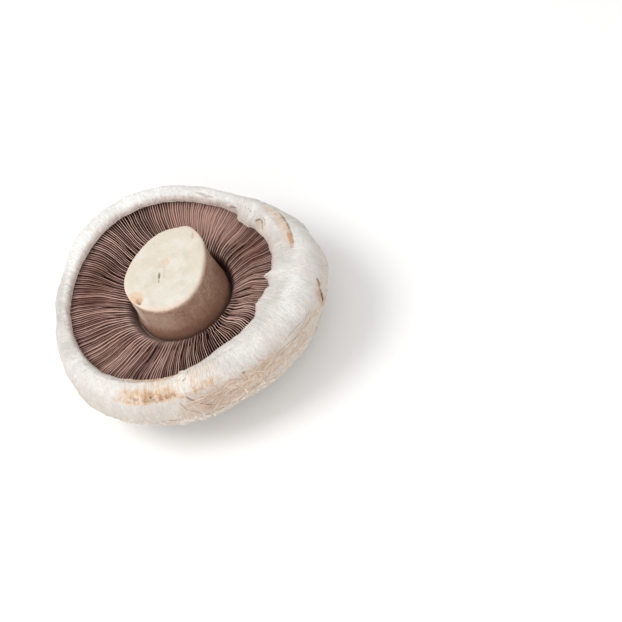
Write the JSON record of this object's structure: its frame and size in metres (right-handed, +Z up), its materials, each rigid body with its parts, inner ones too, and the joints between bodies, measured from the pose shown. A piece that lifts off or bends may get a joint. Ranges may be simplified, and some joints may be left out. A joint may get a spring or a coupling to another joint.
{
  "type": "flat mushroom",
  "caption": "Fresh white flat mushroom with an open inrolled cap, brown radial gills and a short cut stem, resting on its crown with the gills up.",
  "frame": {"origin": "centre of the flat rest spot on the crown, on the surface the mushroom stands on", "axes": "+Z up along the stem, out of the gills; -Y towards the viewer of the picture, +X to the viewer's right"},
  "size_m": [0.102, 0.0989, 0.046],
  "materials": {
    "cap_skin": "matt felted white skin over flesh, with tan scrapes and bruises",
    "gills": "matt pinkish brown gill tissue",
    "stem": "matt fibrous taupe side, moist cream cut face"
  },
  "bodies": {
    "root": {"cap": "cap_skin", "gills": "gills", "stem": "stem"}
  },
  "joints": []
}
